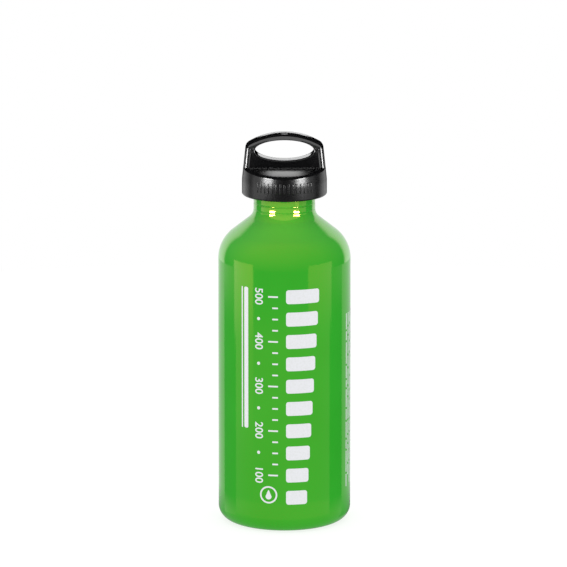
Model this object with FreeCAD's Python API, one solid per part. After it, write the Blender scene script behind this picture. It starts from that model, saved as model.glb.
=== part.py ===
import FreeCAD
import Part
import math
import os

# Refillable fuel bottle with a push-and-turn cap, in millimetres.
# +Z is up, the origin is the middle of the standing ring at the bottom.

# Bottle shell
body_diameter = 73.0
side_wall = 0.9
base_wall = 1.6
base_corner = 7.9          # outer radius between the wall and the foot
foot_width = 1.6           # flat standing ring
heel_radius = 3.0          # from the standing ring into the hollow base
base_hollow = 6.0          # height of the hollow under the base
wall_top = 147.25          # height where the shoulder starts
shoulder_radius = 19.6
shoulder_turn = 51.6       # degrees from upright
throat_radius = 6.64
neck_diameter = 34.0
neck_height = 12.6         # from the throat to the mouth
lip_bend = 0.3             # inner radius of the rolled mouth
ring_groove_radius = 0.6   # rolled rings round the neck
ring_groove_depth = 0.25
ring_groove_spacing = 2.5  # plain neck between the rings
ring_groove_lift = 0.5     # plain neck under the lower ring

# Threaded insert and plug
insert_wall = 1.3
insert_length = 13.1
thread_pitch = 3.0
thread_height = 1.3
thread_base = 1.75         # ridge width at its root
thread_crest = 0.85
thread_inset = 1.5         # plain insert beyond each end of the thread
thread_bite = 0.2          # depth of a ridge's root in its wall
plug_length = 13.8         # plug below the mouth
plug_floor = 2.2
plug_wall = 2.75
plug_chamfer = 0.8
collar_length = 1.0        # smooth collar that enters the mouth
vent_slots = 2             # gaps in the plug's thread that let pressure out
vent_width = 3.5

# Seal between the plug and the lip
seal_height = 2.2
seal_width = 2.4
seal_rounding = 0.9
gland_depth = 1.1

# Push-and-turn mechanism
push_travel = 1.8
flange_thickness = 2.6
dog_count = 12
dog_width = 13.0           # degrees
dog_length = 5.0
dog_inset = 1.6            # dogs in from the flange's edge
dog_gap = 0.4              # dogs apart at rest
washer_stand = 0.9         # washer above the flange
washer_thickness = 1.0
post_radius = 3.7
post_length = 7.0          # post below the washer
pad_inset = 0.8            # pad in from the washer's edge
wire_diameter = 1.2
coil_turns = 5
coil_steps = 4             # arc pairs in a turn
ground_off = 0.35          # wire ground flat at each end of the spring

# Outer cap
skirt_diameter = 46.6
skirt_wall = 1.9
skirt_drop = 4.6           # skirt below the mouth
skirt_straight = 8.4       # upright part of the skirt
skirt_edge = 0.9           # rounding of the lower edge
cap_draft = 6.0            # degrees, upper skirt and sides of the handle
bead_hold = 0.5            # bead under the flange
bead_height = 1.4
deck_thickness = 3.3       # along the handle
deck_arch = 104.0          # radius of the deck's arch, front to back
deck_rounding = 1.0
deck_corner = 1.2          # chamfer inside, between the deck and the skirt

# Carrying handle, one piece with the outer cap
handle_thickness = 10.0
handle_arch = 38.6         # radius of the arched top
handle_corner = 3.4
top_bar = 3.5
window_width = 32.4
window_height = 11.6
sill = 3.7                 # crown of the deck to the window
rim_width = 1.4
web_recess = 1.0           # web behind the rim, each side
recess_fillet = 0.7
ledge = 1.3                # crown of the deck to the recess

# Clearances
seat_gap = 0.05            # insert in the neck, bead under the flange
thread_gap = 0.3           # radial, at crest and root
turning_gap = 0.3          # round pieces that turn or slide in each other
press_gap = 0.2            # left between dogs and deck when pushed
same_place = 0.001         # edges this close to a height or a plane lie on it

# Bottle heights and radii
body_radius = body_diameter / 2
neck_radius = neck_diameter / 2
neck_bore = neck_radius - side_wall
lip_radius = lip_bend + side_wall
slope = math.radians(shoulder_turn)
shoulder_centre = body_radius - shoulder_radius
throat_centre = neck_radius + throat_radius
slope_run = shoulder_centre + (shoulder_radius + throat_radius) * math.cos(slope) - throat_centre
neck_base = wall_top + (shoulder_radius + throat_radius) * math.sin(slope) + slope_run / math.tan(slope)
mouth = neck_base + neck_height

# Thread radii and heights
insert_radius = neck_bore - seat_gap
thread_root = insert_radius - insert_wall
female_crest = thread_root - thread_height
male_core = female_crest - thread_gap
male_crest = male_core + thread_height
insert_top = mouth - side_wall - seat_gap
insert_bottom = insert_top - insert_length
thread_start = insert_bottom + thread_inset
thread_turns = (insert_length - 2 * thread_inset) / thread_pitch

# Seal, plug and spring
seal_inner = (thread_root + neck_radius - lip_radius - seal_width) / 2
seal_outer = seal_inner + seal_width
plug_bottom = mouth - plug_length
well_bottom = plug_bottom + plug_floor
well_radius = male_core - plug_wall
gland_floor = mouth + seal_height
flange_under = gland_floor - gland_depth
flange_top = flange_under + flange_thickness
washer_bottom = flange_top + washer_stand
washer_top = washer_bottom + washer_thickness
washer_inner = post_radius + turning_gap
washer_outer = well_radius - 2 * turning_gap
coil_radius = (washer_inner + washer_outer) / 2

# Cap heights and radii
skirt_radius = skirt_diameter / 2
skirt_bore = skirt_radius - skirt_wall
skirt_bottom = mouth - skirt_drop
cone_bottom = skirt_bottom + skirt_straight
draft = math.tan(math.radians(cap_draft))
flange_radius = skirt_bore - turning_gap
bead_bore = flange_radius - bead_hold
bead_top = flange_under - seat_gap
dog_outer = flange_radius - dog_inset
dog_inner = dog_outer - dog_length
dog_top = flange_top + push_travel
deck_under = dog_top + push_travel + press_gap
crown = deck_under + deck_thickness
window_bottom = crown + sill
apex = window_bottom + window_height + top_bar

origin = FreeCAD.Vector(0, 0, 0)
upright = FreeCAD.Vector(0, 0, 1)
towards_front = FreeCAD.Vector(0, -1, 0)


# A profile of lines and arcs, drawn by radius and height and turned about the bottle's axis.
class Profile:
    def __init__(self, radius, height):
        self.start = FreeCAD.Vector(radius, 0, height)
        self.point = self.start
        self.edges = []

    def line(self, radius, height):
        end = FreeCAD.Vector(radius, 0, height)
        self.edges.append(Part.LineSegment(self.point, end).toShape())
        self.point = end

    # Positive degrees turn from outwards to upwards.
    def arc(self, centre_radius, centre_height, degrees):
        centre = FreeCAD.Vector(centre_radius, 0, centre_height)
        arm = self.point - centre
        middle = centre + FreeCAD.Rotation(towards_front, degrees / 2).multVec(arm)
        end = centre + FreeCAD.Rotation(towards_front, degrees).multVec(arm)
        self.edges.append(Part.Arc(self.point, middle, end).toShape())
        self.point = end

    def turned(self):
        self.line(self.start.x, self.start.z)
        return Part.Face(Part.Wire(self.edges)).revolve(origin, upright, 360)


# Edges that lie level at one height.
def level_edges(shape, height):
    return [edge for edge in shape.Edges
            if abs(edge.BoundBox.ZMin - height) < same_place
            and abs(edge.BoundBox.ZMax - height) < same_place]


def make_ring(outer, inner, bottom, top):
    profile = Profile(inner, bottom)
    profile.line(outer, bottom)
    profile.line(outer, top)
    profile.line(inner, top)
    return profile.turned()


# Impact-extruded shell: hollow base, straight wall, necked shoulder, rolled mouth.
def make_shell():
    foot_outer = body_radius - base_corner
    foot_inner = foot_outer - foot_width
    hollow_radius = (foot_inner ** 2 + base_hollow ** 2 - 2 * heel_radius * base_hollow) / (2 * base_hollow)
    hollow_centre = base_hollow - hollow_radius
    heel_turn = math.degrees(math.atan2(foot_inner, heel_radius - hollow_centre))
    inner_corner = base_corner - base_wall
    inner_shoulder = shoulder_radius - side_wall
    groove_centre = neck_radius - ring_groove_depth + ring_groove_radius
    groove_half = math.acos(1 - ring_groove_depth / ring_groove_radius)
    lip_centre = neck_radius - lip_radius
    lip_start = mouth - lip_radius

    shell = Profile(0, base_hollow)
    shell.arc(0, hollow_centre, -heel_turn)
    shell.arc(foot_inner, heel_radius, heel_turn)
    shell.line(foot_outer, 0)
    shell.arc(foot_outer, base_corner, 90)
    shell.line(body_radius, wall_top)
    shell.arc(shoulder_centre, wall_top, shoulder_turn)
    shell.line(throat_centre - throat_radius * math.cos(slope), neck_base - throat_radius * math.sin(slope))
    shell.arc(throat_centre, neck_base, -shoulder_turn)
    for gap in (ring_groove_lift, ring_groove_spacing):
        shell.line(neck_radius, shell.point.z + gap)
        middle = shell.point.z + ring_groove_radius * math.sin(groove_half)
        shell.arc(groove_centre, middle, -2 * math.degrees(groove_half))
    shell.line(neck_radius, lip_start)
    shell.arc(lip_centre, lip_start, 90)
    shell.line(thread_root, mouth)
    shell.line(thread_root, mouth - side_wall)
    shell.line(lip_centre, mouth - side_wall)
    shell.arc(lip_centre, lip_start, -90)
    shell.line(neck_bore, neck_base)
    shell.arc(throat_centre, neck_base, shoulder_turn)
    shell.line(shoulder_centre + inner_shoulder * math.cos(slope),
               wall_top + inner_shoulder * math.sin(slope))
    shell.arc(shoulder_centre, wall_top, -shoulder_turn)
    shell.line(body_radius - side_wall, base_corner)
    shell.arc(body_radius - side_wall - inner_corner, base_corner, -90)
    shell.line(foot_inner, base_wall)
    shell.arc(foot_inner, heel_radius, -heel_turn)
    shell.arc(0, hollow_centre, heel_turn)
    return shell.turned()


# A helical ridge whose flanks run on into the wall that carries it.
def make_ridge(root, crest, first_height, turns):
    half_crest = thread_crest / 2
    half_base = thread_base / 2
    half_sunk = half_base + thread_bite * (half_base - half_crest) / thread_height
    sunk = root - math.copysign(thread_bite, crest - root)
    corners = [(sunk, -half_sunk), (crest, -half_crest), (crest, half_crest), (sunk, half_sunk)]
    points = [FreeCAD.Vector(radius, 0, first_height + height) for radius, height in corners]
    section = Part.makePolygon(points + points[:1])
    helix = Part.makeHelix(thread_pitch, thread_pitch * turns, root)
    helix.translate(FreeCAD.Vector(0, 0, first_height))
    return Part.Wire(helix.Edges).makePipeShell([section], True, True)


# Threaded ring held in the neck by the rolled mouth.
def make_insert():
    body = Profile(thread_root, insert_bottom)
    body.line(insert_radius, insert_bottom)
    body.line(insert_radius, insert_top - lip_radius)
    body.line(insert_radius - lip_radius, insert_top)
    body.line(thread_root, insert_top)
    return body.turned().fuse(make_ridge(thread_root, female_crest, thread_start, thread_turns))


# One block of a ring of dogs, centred on an angle.
def make_dog(angle, bottom, top):
    corners = []
    for radius in (dog_inner, dog_outer):
        for turn in (-dog_width / 2, 0, dog_width / 2):
            heading = math.radians(angle + turn)
            corners.append(FreeCAD.Vector(radius * math.cos(heading), radius * math.sin(heading), bottom))
    edges = [Part.Arc(corners[0], corners[1], corners[2]).toShape(),
             Part.LineSegment(corners[2], corners[5]).toShape(),
             Part.Arc(corners[5], corners[4], corners[3]).toShape(),
             Part.LineSegment(corners[3], corners[0]).toShape()]
    return Part.Face(Part.Wire(edges)).extrude(FreeCAD.Vector(0, 0, top - bottom))


def make_dogs(first_angle, bottom, top):
    step = 360 / dog_count
    return [make_dog(first_angle + number * step, bottom, top) for number in range(dog_count)]


# Threaded plug with the driven flange. Its well holds the spring.
def make_plug():
    collar_radius = seal_inner - turning_gap / 2
    gland_outer = seal_outer + turning_gap / 2
    body = Profile(0, plug_bottom)
    body.line(male_core - plug_chamfer, plug_bottom)
    body.line(male_core, plug_bottom + plug_chamfer)
    body.line(male_core, mouth - collar_length)
    body.line(collar_radius, mouth - collar_length)
    body.line(collar_radius, gland_floor)
    body.line(gland_outer, gland_floor)
    body.line(gland_outer, flange_under)
    body.line(flange_radius, flange_under)
    body.line(flange_radius, flange_top)
    body.line(well_radius, flange_top)
    body.line(well_radius, well_bottom)
    body.line(0, well_bottom)
    # The plug's ridge runs half a pitch above the insert's ridge.
    ridge = make_ridge(male_core, male_crest, thread_start + thread_pitch / 2, thread_turns - 0.5)
    for number in range(vent_slots):
        slot = Part.makeBox(male_crest, vent_width, 2 * plug_length)
        slot.translate(FreeCAD.Vector(male_core - 2 * thread_bite, -vent_width / 2, plug_bottom))
        slot.rotate(origin, upright, 90 + number * 360 / vent_slots)
        ridge = ridge.cut(slot)
    return body.turned().fuse([ridge] + make_dogs(0, flange_top, dog_top))


# Squeezed sealing ring, flat where it meets the lip and the gland.
def make_seal():
    seal = make_ring(seal_outer, seal_inner, mouth, gland_floor)
    return seal.makeFillet(seal_rounding, level_edges(seal, mouth) + level_edges(seal, gland_floor))


# An arc that leaves a point in a direction and reaches an end.
def arc_from(point, direction, end):
    chord = end - point
    across = chord - direction * chord.dot(direction)
    radius = chord.dot(chord) / (2 * across.Length)
    across.normalize()
    half_turn = math.atan2(chord.dot(across), chord.dot(direction))
    centre = point + across * radius
    middle = centre - across * (radius * math.cos(half_turn)) + direction * (radius * math.sin(half_turn))
    return Part.Arc(point, middle, end).toShape()


# Compression spring, a coil of arc pairs with its ends ground flat.
def make_spring():
    low = well_bottom - ground_off + wire_diameter / 2
    high = washer_bottom + ground_off - wire_diameter / 2
    pitch = (high - low) / coil_turns
    lead = FreeCAD.Vector(0, 2 * math.pi * coil_radius, pitch).normalize()
    points = []
    directions = []
    for step in range(coil_turns * coil_steps + 1):
        turn = FreeCAD.Rotation(upright, 360 * step / coil_steps)
        points.append(turn.multVec(FreeCAD.Vector(coil_radius, 0, low + pitch * step / coil_steps)))
        directions.append(turn.multVec(lead))
    edges = []
    for start, end, leaving, arriving in zip(points, points[1:], directions, directions[1:]):
        chord = end - start
        spread = chord.dot(leaving + arriving)
        bend = 2 * (1 - leaving.dot(arriving))
        reach = (math.sqrt(spread ** 2 + bend * chord.dot(chord)) - spread) / bend
        meeting = (start + leaving * reach + end - arriving * reach) * 0.5
        edges.append(arc_from(start, leaving, meeting))
        edges.append(arc_from(end, arriving * -1, meeting))
    section = Part.Wire(Part.makeCircle(wire_diameter / 2, points[0], lead))
    coil = Part.Wire(edges).makePipeShell([section], True)
    between = min((first - second).Length for number, first in enumerate(points)
                  for second in points[number + coil_steps:])
    print("least gap between turns of the spring", round(between - wire_diameter, 2))
    return coil.common(Part.makeCylinder(well_radius, washer_bottom - well_bottom,
                                         FreeCAD.Vector(0, 0, well_bottom)))


# Slip washer between the spring and the turning cap.
def make_washer():
    return make_ring(washer_outer, washer_inner, washer_bottom, washer_top)


# Outer radius of the drafted upper skirt and handle at a height.
def side_radius(height):
    return skirt_radius - draft * (height - cone_bottom)


def make_arch(inset):
    centre = FreeCAD.Vector(0, 0, apex - handle_arch)
    return Part.makeSphere(handle_arch - inset, centre, FreeCAD.Vector(1, 0, 0))


# A solid of revolution cut to the handle's arch, with the corner under the arch rounded.
def arched(blank, inset):
    blank = blank.common(make_arch(inset))
    corner = [edge for edge in blank.Edges
              if edge.BoundBox.ZMin > window_bottom and edge.BoundBox.ZLength < same_place]
    return blank.makeFillet(handle_corner - inset, corner)


# Everything within a distance of the handle's middle plane, above a height.
def make_slab(half, bottom):
    slab = Part.makeBox(2 * skirt_diameter, 2 * half, apex)
    slab.translate(FreeCAD.Vector(-skirt_diameter, -half, bottom))
    return slab


# Skirt, deck and handle as one turned blank, before the deck is opened either side of the handle.
def make_cap_blank():
    body = Profile(0, deck_under)
    body.line(skirt_bore - deck_corner, deck_under)
    body.line(skirt_bore, deck_under - deck_corner)
    body.line(skirt_bore, bead_top)
    body.line(bead_bore, bead_top)
    body.line(bead_bore, bead_top - bead_height + bead_hold)
    body.line(skirt_bore, bead_top - bead_height)
    body.line(skirt_bore, skirt_bottom)
    body.line(skirt_radius, skirt_bottom)
    body.line(skirt_radius, cone_bottom)
    body.line(side_radius(apex), apex)
    body.line(0, apex)
    blank = arched(body.turned(), 0)
    outside = [edge for edge in level_edges(blank, skirt_bottom)
               if edge.BoundBox.XMax > skirt_bore + skirt_wall / 2]
    return blank.makeFillet(skirt_edge, outside)


# Skirt and deck without the handle: the deck is arched from front to back and rounded along its edge.
def make_deck(blank):
    along = FreeCAD.Vector(1, 0, 0)
    centre = FreeCAD.Vector(-skirt_diameter, 0, crown - deck_arch)
    arch = Part.makeCylinder(deck_arch, 2 * skirt_diameter, centre, along)
    arch.rotate(centre, along, 180)
    deck = blank.common(arch)
    rim = [edge for edge in deck.Edges if edge.BoundBox.ZMin > deck_under]
    return deck.makeFillet(deck_rounding, rim)


# Recess on both faces of the handle, inside its rim.
def make_recess():
    bottom = crown + ledge
    height = apex - bottom
    cone = Part.makeCone(side_radius(bottom) - rim_width, side_radius(apex) - rim_width, height,
                         FreeCAD.Vector(0, 0, bottom))
    web_half = handle_thickness / 2 - web_recess
    recess = arched(cone, rim_width).cut(make_slab(web_half, deck_under))
    floor = [edge for edge in recess.Edges if abs(abs(edge.CenterOfMass.y) - web_half) < same_place]
    return recess.makeFillet(recess_fillet, floor)


def make_window():
    outline = Part.Ellipse(origin, window_width / 2, window_height / 2).toShape()
    window = Part.Face(Part.Wire(outline)).extrude(FreeCAD.Vector(0, 0, 2 * handle_thickness))
    window.rotate(origin, FreeCAD.Vector(1, 0, 0), 90)
    window.translate(FreeCAD.Vector(0, handle_thickness, window_bottom + window_height / 2))
    return window


# Skirt, deck and handle in one moulding, with dogs, spring post and retaining bead inside.
def make_cap():
    blank = make_cap_blank()
    handle = blank.common(make_slab(handle_thickness / 2, deck_under))
    cap = make_deck(blank).fuse(handle).cut(make_recess()).cut(make_window())
    pad = make_ring(washer_outer - pad_inset, post_radius, washer_top, deck_under)
    post_bottom = washer_bottom - post_length
    post = Part.makeCylinder(post_radius, deck_under - post_bottom, FreeCAD.Vector(0, 0, post_bottom))
    return cap.fuse([pad, post] + make_dogs(180 / dog_count, dog_top + dog_gap, deck_under))


pieces = {
    "bottle_shell": make_shell(),
    "neck_thread_insert": make_insert(),
    "outer_cap": make_cap(),
    "inner_plug": make_plug(),
    "plug_seal_ring": make_seal(),
    "return_spring": make_spring(),
    "thrust_washer": make_washer(),
}

os.makedirs("parts", exist_ok=True)
for name, shape in pieces.items():
    solid = shape.removeSplitter()
    solid.exportStep("parts/" + name + ".step")
    box = solid.optimalBoundingBox()
    print(name, "solids", len(solid.Solids), "valid", solid.isValid(), "volume", round(solid.Volume, 1),
          "from", round(box.ZMin, 2), "to", round(box.ZMax, 2))
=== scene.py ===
import math
import bmesh
import bpy
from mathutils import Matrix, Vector


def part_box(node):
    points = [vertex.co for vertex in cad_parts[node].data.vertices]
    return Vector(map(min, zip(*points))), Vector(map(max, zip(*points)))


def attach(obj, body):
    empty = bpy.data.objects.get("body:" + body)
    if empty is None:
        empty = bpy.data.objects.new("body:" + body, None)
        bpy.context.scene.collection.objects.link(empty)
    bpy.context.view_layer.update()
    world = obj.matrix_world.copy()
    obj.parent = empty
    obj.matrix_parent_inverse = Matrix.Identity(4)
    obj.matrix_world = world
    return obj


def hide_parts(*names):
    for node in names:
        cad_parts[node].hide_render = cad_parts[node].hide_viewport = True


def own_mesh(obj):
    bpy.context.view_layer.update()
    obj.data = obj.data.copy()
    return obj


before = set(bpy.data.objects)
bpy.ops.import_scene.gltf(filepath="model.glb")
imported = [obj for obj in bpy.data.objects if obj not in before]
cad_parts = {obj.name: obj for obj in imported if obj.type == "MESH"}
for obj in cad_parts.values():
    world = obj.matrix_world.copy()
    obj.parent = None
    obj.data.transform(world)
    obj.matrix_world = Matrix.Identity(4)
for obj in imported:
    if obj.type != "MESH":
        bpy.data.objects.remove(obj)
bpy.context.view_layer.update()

mm = 0.001  # sizes below are in millimetres, Blender works in metres


# Modelling helpers

def makeActive(obj):
    bpy.ops.object.select_all(action="DESELECT")
    obj.select_set(True)
    bpy.context.view_layer.objects.active = obj


# carries a profile on in a straight line, with a point near each end that keeps the shading straight
def lineTo(path, radius, height, guard=0.3):
    startRadius, startHeight = path[-1]
    length = math.hypot(radius - startRadius, height - startHeight)
    shares = (guard / length, 1 - guard / length, 1) if length > 4 * guard else (1,)
    for share in shares:
        path.append((startRadius + (radius - startRadius) * share, startHeight + (height - startHeight) * share))


# carries a profile on round a centre; positive degrees turn from outwards to upwards
def arcTo(path, centreRadius, centreHeight, degrees, steps):
    armRadius = path[-1][0] - centreRadius
    armHeight = path[-1][1] - centreHeight
    for step in range(1, steps + 1):
        turn = math.radians(degrees * step / steps)
        path.append((centreRadius + armRadius * math.cos(turn) - armHeight * math.sin(turn),
                     centreHeight + armRadius * math.sin(turn) + armHeight * math.cos(turn)))


# one vertex drawn along the profile, then spun round the bottle's axis
def spinProfile(path, steps):
    bpy.ops.object.select_all(action="DESELECT")
    bpy.ops.mesh.primitive_plane_add(size=mm, location=(0, 0, 0))
    bpy.ops.object.mode_set(mode="EDIT")
    bpy.ops.mesh.merge(type="CENTER")
    bpy.ops.transform.translate(value=(path[0][0] * mm, 0, path[0][1] * mm))
    for (radius, height), (nextRadius, nextHeight) in zip(path, path[1:]):
        step = ((nextRadius - radius) * mm, 0, (nextHeight - height) * mm)
        bpy.ops.mesh.extrude_vertices_move(TRANSFORM_OT_translate={"value": step})
    bpy.ops.mesh.select_all(action="SELECT")
    bpy.ops.mesh.spin(steps=steps, angle=2 * math.pi, center=(0, 0, 0), axis=(0, 0, 1))
    bpy.ops.mesh.select_all(action="SELECT")
    bpy.ops.mesh.remove_doubles(threshold=0.001 * mm)
    bpy.ops.mesh.normals_make_consistent(inside=False)
    bpy.ops.object.mode_set(mode="OBJECT")
    return bpy.context.object


def applyModifiers(obj):
    makeActive(obj)
    for modifier in list(obj.modifiers):
        bpy.ops.object.modifier_apply(modifier=modifier.name)


# several objects into the first of them
def joinAll(objects):
    makeActive(objects[0])
    for obj in objects[1:]:
        obj.select_set(True)
    bpy.ops.object.join()
    return objects[0]


# melts one closed shape into another
def unite(obj, addition):
    union = obj.modifiers.new("union", "BOOLEAN")
    union.operation = "UNION"
    union.solver = "EXACT"
    union.object = addition
    applyModifiers(obj)
    makeActive(addition)
    bpy.ops.object.delete()


def finishPiece(piece, name, body, materials, node=None, smooth=35):
    piece.name = name
    piece.data.name = name
    makeActive(piece)
    bpy.ops.object.transform_apply(location=True, rotation=True, scale=True)
    bpy.ops.object.shade_smooth_by_angle(angle=math.radians(smooth))
    for material in materials:
        piece.data.materials.append(material)
    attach(piece, body)
    if node:
        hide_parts(node)
    print(name, "has", len(piece.data.polygons), "faces")


# Material helpers

# sRGB hex to the linear colour that shaders take
def linearColour(hexColour):
    values = [int(hexColour[place:place + 2], 16) / 255 for place in (1, 3, 5)]
    return [value / 12.92 if value <= 0.04045 else ((value + 0.055) / 1.055) ** 2.4 for value in values] + [1]


# a node's sockets, set to values or linked to other sockets
def setSockets(tree, node, sockets):
    for socket, value in sockets.items():
        if isinstance(value, bpy.types.NodeSocket):
            tree.links.new(value, node.inputs[socket])
        else:
            node.inputs[socket].default_value = value


def addNode(tree, kind, sockets, **settings):
    node = tree.nodes.new(kind)
    for key, value in settings.items():
        setattr(node, key, value)
    setSockets(tree, node, sockets)
    return node


def newMaterial(name):
    material = bpy.data.materials.new(name)
    material.use_nodes = True
    tree = material.node_tree
    shader = tree.nodes["Principled BSDF"]
    place = addNode(tree, "ShaderNodeTexCoord", {}).outputs["Object"]
    return material, tree, shader, place


# texture scale for a pattern of a real size in millimetres
def grainScale(size):
    return 1 / (size * mm)


# Baked lacquer over drawn aluminium: deep green, glossy, with a faint orange peel that softens what it mirrors,
# and a tint that warms it
def makeGreenLacquer():
    material, tree, shader, place = newMaterial("greenBakedLacquer")
    drift = addNode(tree, "ShaderNodeTexNoise", {"Vector": place, "Scale": grainScale(35), "Detail": 2})
    colour = addNode(tree, "ShaderNodeValToRGB", {"Fac": drift.outputs["Fac"]})
    colour.color_ramp.elements[0].position = 0.3
    colour.color_ramp.elements[0].color = linearColour("#2BA027")
    colour.color_ramp.elements[1].position = 0.7
    colour.color_ramp.elements[1].color = linearColour("#2FA42B")
    peel = addNode(tree, "ShaderNodeTexNoise", {"Vector": place, "Scale": grainScale(1.6), "Detail": 1})
    bump = addNode(tree, "ShaderNodeBump", {"Height": peel.outputs["Fac"], "Strength": 0.25, "Distance": 0.004 * mm})
    gloss = addNode(tree, "ShaderNodeMapRange", {"Value": peel.outputs["Fac"], "To Min": 0.07, "To Max": 0.12})
    setSockets(tree, shader, {"Base Color": colour.outputs["Color"], "Roughness": gloss.outputs["Result"],
                              "Normal": bump.outputs["Normal"], "IOR": 1.5, "Specular Tint": linearColour("#FFD268")})
    return material


# Bare drawn aluminium inside the shell: pale grey with fine lines along the draw
def makeDrawnAluminium():
    material, tree, shader, place = newMaterial("drawnAluminium")
    along = addNode(tree, "ShaderNodeMapping", {"Vector": place, "Scale": (1, 1, 0.04)})
    lines = addNode(tree, "ShaderNodeTexNoise",
                    {"Vector": along.outputs["Vector"], "Scale": grainScale(0.5), "Detail": 3})
    bump = addNode(tree, "ShaderNodeBump", {"Height": lines.outputs["Fac"], "Strength": 0.3, "Distance": 0.01 * mm})
    gloss = addNode(tree, "ShaderNodeMapRange", {"Value": lines.outputs["Fac"], "To Min": 0.3, "To Max": 0.48})
    setSockets(tree, shader, {"Base Color": linearColour("#C6C8CA"), "Metallic": 1,
                              "Roughness": gloss.outputs["Result"], "Normal": bump.outputs["Normal"]})
    return material


# Machined aluminium ring: bright, with turning marks that run round it, drawn a little coarse so that they show
def makeTurnedAluminium():
    material, tree, shader, place = newMaterial("turnedAluminium")
    marks = addNode(tree, "ShaderNodeTexWave", {"Vector": place, "Scale": grainScale(0.3) / 20, "Distortion": 0.4},
                    bands_direction="Z")
    bump = addNode(tree, "ShaderNodeBump", {"Height": marks.outputs["Fac"], "Strength": 0.3, "Distance": 0.01 * mm})
    gloss = addNode(tree, "ShaderNodeMapRange", {"Value": marks.outputs["Fac"], "To Min": 0.22, "To Max": 0.36})
    setSockets(tree, shader, {"Base Color": linearColour("#CFD0D1"), "Metallic": 1,
                              "Roughness": gloss.outputs["Result"], "Normal": bump.outputs["Normal"]})
    return material


# Screen-printed ink: flat white, a shade duller than the lacquer, with the screen's slight unevenness
def makeWhiteInk():
    material, tree, shader, place = newMaterial("whiteScreenInk")
    film = addNode(tree, "ShaderNodeTexNoise", {"Vector": place, "Scale": grainScale(0.9), "Detail": 2})
    colour = addNode(tree, "ShaderNodeValToRGB", {"Fac": film.outputs["Fac"]})
    colour.color_ramp.elements[0].position = 0.3
    colour.color_ramp.elements[0].color = linearColour("#D8DADB")
    colour.color_ramp.elements[1].position = 0.6
    colour.color_ramp.elements[1].color = linearColour("#DEDFE3")
    gloss = addNode(tree, "ShaderNodeMapRange", {"Value": film.outputs["Fac"], "To Min": 0.32, "To Max": 0.45})
    setSockets(tree, shader, {"Base Color": colour.outputs["Color"], "Roughness": gloss.outputs["Result"],
                              "IOR": 1.48})
    return material


# Moulded black nylon; the mould's finish sets how fine the grain is and how much it mirrors
def makeBlackNylon(name, hexDark, hexLight, grain, depth, glossFrom, glossTo, sheen=0.5):
    material, tree, shader, place = newMaterial(name)
    spark = addNode(tree, "ShaderNodeTexNoise", {"Vector": place, "Scale": grainScale(grain), "Detail": 2})
    colour = addNode(tree, "ShaderNodeValToRGB", {"Fac": spark.outputs["Fac"]})
    colour.color_ramp.elements[0].position = 0.35
    colour.color_ramp.elements[0].color = linearColour(hexDark)
    colour.color_ramp.elements[1].position = 0.7
    colour.color_ramp.elements[1].color = linearColour(hexLight)
    bump = addNode(tree, "ShaderNodeBump", {"Height": spark.outputs["Fac"], "Strength": 0.5, "Distance": depth * mm})
    gloss = addNode(tree, "ShaderNodeMapRange", {"Value": spark.outputs["Fac"], "From Min": 0.3, "From Max": 0.7,
                                                 "To Min": glossFrom, "To Max": glossTo})
    setSockets(tree, shader, {"Base Color": colour.outputs["Color"], "Roughness": gloss.outputs["Result"],
                              "Normal": bump.outputs["Normal"], "IOR": 1.5, "Specular IOR Level": sheen})
    return material


# Nitrile rubber: matt black with a slight bloom
def makeSealRubber():
    material, tree, shader, place = newMaterial("nitrileRubber")
    bloom = addNode(tree, "ShaderNodeTexNoise", {"Vector": place, "Scale": grainScale(1.2), "Detail": 3})
    colour = addNode(tree, "ShaderNodeValToRGB", {"Fac": bloom.outputs["Fac"]})
    colour.color_ramp.elements[0].color = linearColour("#121213")
    colour.color_ramp.elements[1].color = linearColour("#242425")
    bump = addNode(tree, "ShaderNodeBump", {"Height": bloom.outputs["Fac"], "Strength": 0.3, "Distance": 0.02 * mm})
    setSockets(tree, shader, {"Base Color": colour.outputs["Color"], "Normal": bump.outputs["Normal"],
                              "Roughness": 0.6, "IOR": 1.52})
    return material


# Drawn stainless wire: grey, with fine die lines
def makeSpringSteel():
    material, tree, shader, place = newMaterial("drawnStainlessWire")
    lines = addNode(tree, "ShaderNodeTexNoise", {"Vector": place, "Scale": grainScale(0.25), "Detail": 3})
    bump = addNode(tree, "ShaderNodeBump", {"Height": lines.outputs["Fac"], "Strength": 0.2, "Distance": 0.01 * mm})
    gloss = addNode(tree, "ShaderNodeMapRange", {"Value": lines.outputs["Fac"], "To Min": 0.2, "To Max": 0.36})
    setSockets(tree, shader, {"Base Color": linearColour("#B4B3B0"), "Metallic": 1,
                              "Roughness": gloss.outputs["Result"], "Normal": bump.outputs["Normal"]})
    return material


# Natural acetal: waxy white, a little translucent at the edges
def makeWasherAcetal():
    material, tree, shader, place = newMaterial("naturalAcetal")
    cloud = addNode(tree, "ShaderNodeTexNoise", {"Vector": place, "Scale": grainScale(2.5), "Detail": 2})
    colour = addNode(tree, "ShaderNodeValToRGB", {"Fac": cloud.outputs["Fac"]})
    colour.color_ramp.elements[0].color = linearColour("#DDD9CE")
    colour.color_ramp.elements[1].color = linearColour("#EBE8E0")
    gloss = addNode(tree, "ShaderNodeMapRange", {"Value": cloud.outputs["Fac"], "To Min": 0.28, "To Max": 0.4})
    setSockets(tree, shader, {"Base Color": colour.outputs["Color"], "Roughness": gloss.outputs["Result"],
                              "IOR": 1.48})
    return material


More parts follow.
